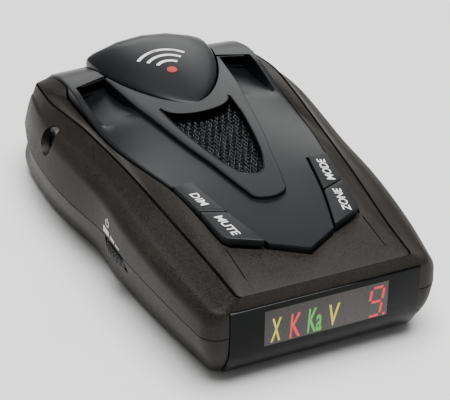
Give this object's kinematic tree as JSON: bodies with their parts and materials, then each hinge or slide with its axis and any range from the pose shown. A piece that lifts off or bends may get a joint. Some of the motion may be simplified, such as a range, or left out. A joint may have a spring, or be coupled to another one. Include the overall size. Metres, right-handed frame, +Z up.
{
  "type": "radar detector",
  "caption": "Dash-top radar detector: two-part shell, inlaid deck with keys, speaker grille, bracket release button, display window, thumbwheel and power jack.",
  "frame": {"origin": "middle of the foot print's bounding box, on the surface the detector stands on", "axes": "+X right as seen from the display end, +Y towards the road end, +Z up"},
  "size_m": [0.07, 0.111, 0.032],
  "materials": {
    "shell_abs": "fine spark-eroded texture",
    "deck_abs": "satin moulded",
    "grille_wire": "black woven wire",
    "key_abs": "satin, white legends",
    "nylon": "moulded",
    "spring_steel": "drawn wire",
    "smoked_acrylic": "smoked, polished",
    "display_face": "indicator mask",
    "circuit_board": "solder mask",
    "red_acrylic": "infra-red filter, polished",
    "sensor_epoxy": "cast epoxy",
    "cast_aluminium": "die cast",
    "tin_plate": "tin plated",
    "wheel_abs": "ridged",
    "paper_cone": "pressed paper",
    "ferrite": "ground ferrite",
    "foam": "closed-cell foam",
    "screw_steel": "black zinc",
    "label_film": "blank film"
  },
  "bodies": {
    "housing": {"lower_housing": "shell_abs", "upper_housing": "shell_abs", "deck_panel": "deck_abs", "spine_panel": "deck_abs", "speaker_grille": "grille_wire", "release_spring": "spring_steel", "display_lens": "smoked_acrylic", "display_module": "display_face", "display_board": "circuit_board", "laser_window": "red_acrylic", "laser_sensor": "sensor_epoxy", "main_board": "circuit_board", "horn_antenna": "cast_aluminium", "rf_shield": "tin_plate", "tact_switches": "nylon", "control_chip": "nylon", "volume_pot": "nylon", "power_jack": "nylon", "speaker_basket": "tin_plate", "speaker_cone": "paper_cone", "speaker_magnet": "ferrite", "speaker_gasket": "foam", "housing_screws": "screw_steel", "board_screws": "screw_steel", "label_plate": "label_film"},
    "release": {"release_button": "deck_abs", "release_latch": "nylon"},
    "dim_key": {"dim_button": "key_abs"},
    "mute_key": {"mute_button": "key_abs"},
    "mode_key": {"mode_button": "key_abs"},
    "zone_key": {"zone_button": "key_abs"},
    "volume": {"volume_thumbwheel": "wheel_abs"}
  },
  "joints": [
    {"name": "release_press", "type": "slide", "parent": "housing", "child": "release", "axis": [0, 0, -1], "range_m": [0, 0.0014], "stiffness_N_per_m": 900, "springref_m": -0.001, "deforming": ["release_spring"]},
    {"name": "dim_press", "type": "slide", "parent": "housing", "child": "dim_key", "axis": [0, 0, -1], "range_m": [0, 0.0005], "stiffness_N_per_m": 1500, "springref_m": -0.0004},
    {"name": "mute_press", "type": "slide", "parent": "housing", "child": "mute_key", "axis": [0, 0, -1], "range_m": [0, 0.0005], "stiffness_N_per_m": 1500, "springref_m": -0.0004},
    {"name": "mode_press", "type": "slide", "parent": "housing", "child": "mode_key", "axis": [0, 0, -1], "range_m": [0, 0.0005], "stiffness_N_per_m": 1500, "springref_m": -0.0004},
    {"name": "zone_press", "type": "slide", "parent": "housing", "child": "zone_key", "axis": [0, 0, -1], "range_m": [0, 0.0005], "stiffness_N_per_m": 1500, "springref_m": -0.0004},
    {"name": "volume_turn", "type": "hinge", "parent": "housing", "child": "volume", "pos_m": [-0.0222, -0.014, 0.0106], "axis": [0, 0, 1], "range_deg": [0, 270]}
  ]
}
